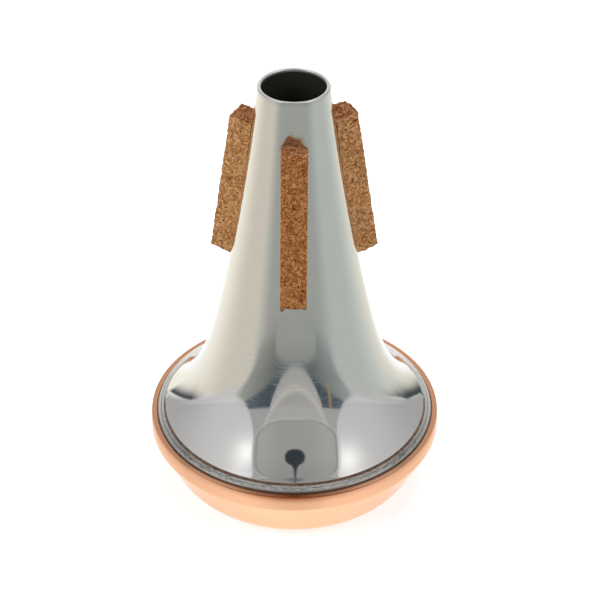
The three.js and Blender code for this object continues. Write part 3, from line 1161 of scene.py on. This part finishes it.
def tentColours(azimuth, up):
    # Level floor, walls and ceiling from the azimuth, then softened patches laid over them
    side = np.abs(azimuth)
    left = azimuth < 0

    def pair(key):
        return np.where(left, *tent[key])

    def rising(key, low, high):
        return mix(*tent[key], ramp(low, high, up))

    floor = mix(tent["frontFloor"], pair("sideFloor"), ramp(0, 27, side - pair("sideFrom")))
    floor = mix(floor, pair("backFloor"), ramp(0, 71, side - pair("backFrom")))
    floor = floor + (pair("farFloor") - pair("backFloor")) * ramp(150, 168, side)
    wall = mix(pair("wall"), pair("wallEnds"), ramp(78, 128, side))
    wall = wall + tent["wallFootGain"] * hump(up, -1.5, 1.4) * band(side, 55, 65, 120, 130)
    behind = ramp(150, 163, side)
    wall = mix(wall, tent["back"][0], ramp(126, 150, side) * ramp(7, 14, up))
    wall = mix(wall, tent["back"][1], behind)
    wall = mix(wall, mix(*tent["backTop"], ramp(171, 178, side)), behind * ramp(17, 26, up))
    ceiling = mix(*tent["ceiling"], ramp(50, 110, side))
    wall = mix(wall, ceiling, ramp(50 - 6 * behind, 62 - 9 * behind, up))
    level = mix(floor, wall, ramp(-5.5, -2, up))
    for centre, height, wide, high, gain in tent["spots"]:
        level = level + gain * hump(azimuth, centre, wide) * hump(up, height, high)

    # A fine dark line along the top of the sheet's curl
    curl = hump(up, np.interp(side, *tent["curl"]), 0.4) * band(side, 52, 60, 129, 133)
    level = level * (1 - tent["curlShade"] * curl)

    # Tints of the sheet, which fade out where the walls begin
    tint = mix(np.array(tent["centreTint"]), pair("sideTint"), ramp(25, 75, side))
    tint = mix(tint, tent["backTint"], ramp(105, 140, side))
    tint = mix(tint, tent["wallTint"], ramp(-9, -3, up))
    colour = level * tint

    def lay(light, share):
        nonlocal colour
        colour = mix(colour, light, share)

    # The side walls lean in over a shaded strip; the strip's level rises outwards and away from its foot
    wallEdge = np.interp(up, *tent["wallEdge"]) + pair("wallShift") * ramp(5, 20, up)
    strip = ramp(-0.5, 0.5, (wallEdge - side) / np.interp(up, *tent["wallSoftness"]))
    inwards, outwards, downwards = tent["shadeRise"]
    middle = tent["shadeMiddle"]
    shade = tent["shade"] + outwards * above(side, middle) + inwards * above(middle, side)
    shade = shade + downwards * above(-8, up)
    shadeTint = mix(pair("shadeTint"), tent["shadeBlue"], ramp(34, 20, side) * ramp(-10, -8, up))
    lay(shade * shadeTint, strip * band(up, -13.6, -11.6, 3.2, 4))

    # Its dark core, higher towards the sides, and the light round pocket above the hood
    coreHeight = up - tent["coreFoot"] - tent["coreSlope"] * above(side, 27)
    core = ramp(-1.2, 0.9, coreHeight) * strip ** 0.5 * ramp(4, 3.2, up)
    lay((1 + tent["coreRise"] * above(side, 30)) * tent["core"], core)
    pocket = within(bowedBox(azimuth, up, *tent["pocketBox"]), 0.1) * ramp(-13.6, -12, up)
    lay(rising("pocket", -12, -9) * tent["centreTint"], pocket)

    # Flanks beside the hood, the hood itself, its rim and the darker middle
    lay(tent["flank"], within(side - wallEdge, 0.8) * band(up, 3.2, 4, 55, 62))
    hood = within(bowedBox(azimuth, np.minimum(up, tent["hoodBox"][1]), *tent["hoodBox"]), 0.7)
    lay(rising("hood", -6.5, -2) * tent["hoodTint"], hood * ramp(62, 55, up))
    rim = bowedBox(azimuth, np.minimum(up, tent["hoodRimBox"][1]), *tent["hoodRimBox"])
    rimShare = hump(rim, 0, tent["hoodRimWidth"]) * ramp(54, 48, up) * ramp(24, 6, up)
    lay(tent["hoodRim"] * np.array(tent["hoodRimTint"]), rimShare)
    inner = ramp(0, -3.5, rim) * ramp(60, 54, up)
    lay(rising("hoodInside", -1, 6) * tent["hoodTint"], inner)

    # Front panel with round corners, a fine dark outline and a pale one round it
    reach = (above(np.abs(value - middle), core) / corner
             for value, middle, core, corner in zip((azimuth, up), *tent["panelShape"]))
    edge = (np.hypot(*reach) - 1) * 12
    panel = rising("panel", 30, 50) + tent["panelGain"] * ramp(12, 34, side)
    lay(panel * tent["panelTint"], within(edge, 0.6))
    lay(tent["outline"], 0.6 * hump(edge, 0, 0.55))
    lay(tent["hoodRim"], 0.55 * hump(edge, 1.2, 0.6))

    # A thin tan stroke in the shaded strip on the right
    stroke = hump(azimuth, np.interp(up, *tent["strokePlace"]), tent["strokeWidth"])
    lay(tent["stroke"], 0.85 * stroke * band(up, -7.5, -4, 2.6, 3.6))

    # The camera that looks at the mute, round and dark on a thin stem with a flat base
    head = within(bowedBox(azimuth, up, *tent["cameraBox"]), 0.7)
    stem = within(np.abs(azimuth - tent["stemMiddle"]) - np.interp(up, *tent["stemWidth"]), 0.7)
    height, halfHeight, halfWidth = tent["stemBase"]
    base = 0.75 * hump(azimuth, 0, halfWidth, 4) * hump(up, height, halfHeight)
    for share in (head, stem * band(up, 38, 39, 50, 54), base):
        lay(tent["cameraDark"], share)

    # Thin dark wedges far back at both sides, sharp where they meet the walls and soft below
    for wedge in tent["wedges"]:
        start, thin, end = wedge["reach"]
        under = np.interp(azimuth, wedge["azimuths"], wedge["tops"]) - up
        along = (azimuth - start) / (thin - start)
        tail = (azimuth - thin) / (end - thin)
        firm, fade = (mix(*wedge[key], ramp(0.7, 1.2, along)) for key in ("firm", "fade"))
        window = ramp(0, 0.12, along) * ramp(1, 0, tail) * (1 - 0.4 * ramp(-0.4, 0.3, tail))
        soft = hump(above(under, firm), 0, fade, 1.6)
        lay(tent["wedge"], window * ramp(-0.3, 0.7, under) * soft)
    return np.clip(colour, 0, None)


def addTent():
    # A sphere on a grid of azimuth and elevation, seen only by reflections
    across, up = studio["tentGrid"]
    azimuth = np.linspace(-180, 180, across, endpoint=False)
    elevation = np.linspace(-studio["tentTop"], studio["tentTop"], up)
    a, e = np.meshgrid(azimuth, elevation)
    level = studio["tentRadius"] * np.cos(np.radians(e))
    z = studio["tentRadius"] * np.sin(np.radians(e)) + studio["tentCentre"]
    points = np.stack([level * np.sin(np.radians(a)), -level * np.cos(np.radians(a)), z], -1).reshape(-1, 3)
    colours = tentColours(a[..., None], e[..., None]).reshape(-1, 3)
    colours = np.hstack([colours, np.ones((len(colours), 1))])
    piece = meshOf("tent", points, ringQuads(up - 1, up, across), (), {"light": colours})
    material = bpy.data.materials.new("tent_light")
    tree = emptyTree(material)
    light = addNode(tree, "Attribute", {"attribute_name": "light"}).outputs["Color"]
    glow = addNode(tree, "Emission", None, {"Color": light, "Strength": 1.0})
    addNode(tree, "OutputMaterial", None, {"Surface": glow.outputs[0]})
    material.cycles.emission_sampling = "NONE"
    piece.data.materials.append(material)
    piece.visible_camera = False
    piece.visible_diffuse = False
    piece.visible_shadow = False
    piece.visible_transmission = False


def addFloor():
    # A pale sheet that keeps the shadow; reflections see it lit from below, and further off the tent
    half = studio["floorSize"] / 2
    points = np.array([[-half, -half, 0], [half, -half, 0], [half, half, 0], [-half, half, 0]])
    piece = meshOf("floor", points, [[0, 1, 2, 3]])
    material, tree, shader = newMaterial("white_floor")
    path = addNode(tree, "LightPath").outputs
    seen = largest(tree, path["Is Camera Ray"], path["Is Transmission Ray"])
    setInputs(tree, shader, {
        "Base Color": studio["floorColour"],
        "Roughness": studio["floorRoughness"],
        "Specular IOR Level": 0.0,
        "Emission Color": white,
        "Emission Strength": times(tree, seen, studio["floorGlow"]),
    })
    spot = placeOf(tree)
    away = vectors(tree, "LENGTH", {0: spot}, "Value")
    x = addNode(tree, "SeparateXYZ", None, {0: spot}).outputs["X"]
    aside = sums(tree, "DIVIDE", sums(tree, "ABSOLUTE", x), away)
    under = sums(tree, "SUBTRACT", remap(tree, away, *studio["underGlow"]),
                 remap(tree, aside, *studio["underFall"]))
    near = sums(tree, "SUBTRACT", remap(tree, aside, *studio["nearGlow"]),
                remap(tree, aside, *studio["nearFall"]))
    share = remap(tree, away, *studio["nearFrom"])
    level = addNode(tree, "Mix", {"data_type": "FLOAT"}, {0: share, 2: under, 3: near}).outputs[0]
    glow = addNode(tree, "Emission", None, {"Color": white, "Strength": level})
    clear = addNode(tree, "BsdfTransparent")
    far = remap(tree, away, *studio["clearFrom"])
    mirrored = addNode(tree, "MixShader", None, {0: far, 1: glow.outputs[0], 2: clear.outputs[0]})
    mixed = addNode(tree, "MixShader", None, {
        0: path["Is Glossy Ray"], 1: shader.outputs[0], 2: mirrored.outputs[0]})
    output = next(node for node in tree.nodes if node.type == "OUTPUT_MATERIAL")
    setInputs(tree, output, {"Surface": mixed.outputs[0]})
    material.cycles.emission_sampling = "NONE"
    piece.data.materials.append(material)


def addLamp(name, place, size, power):
    data = bpy.data.lights.new(name, "AREA")
    data.size = size
    data.energy = power
    lamp = addObject(name, data)
    lamp.location = place
    x, y, z = np.array(studio["lampAim"]) - np.array(place)
    lamp.rotation_euler = (atan2(hypot(x, y), -z), 0, atan2(-x, y))
    lamp.visible_glossy = False


def addWorld():
    # Full light where it is seen, and only a share of it as lighting
    world = bpy.data.worlds.new("studio")
    tree = emptyTree(world)
    path = addNode(tree, "LightPath").outputs
    seen = largest(tree, path["Is Camera Ray"], path["Is Glossy Ray"], path["Is Transmission Ray"])
    gain = sums(tree, "MULTIPLY_ADD", seen, 1 - studio["worldLight"], studio["worldLight"])
    light = addNode(tree, "Background", None, {"Color": white, "Strength": gain})
    addNode(tree, "OutputWorld", None, {"Surface": light.outputs[0]})
    bpy.context.scene.world = world


addTent()
addFloor()
for name, (place, size, power) in studio["lamps"].items():
    addLamp(name, place, size, power)
addWorld()
bpy.context.scene.view_settings.view_transform = "Standard"
print("studio is lit")
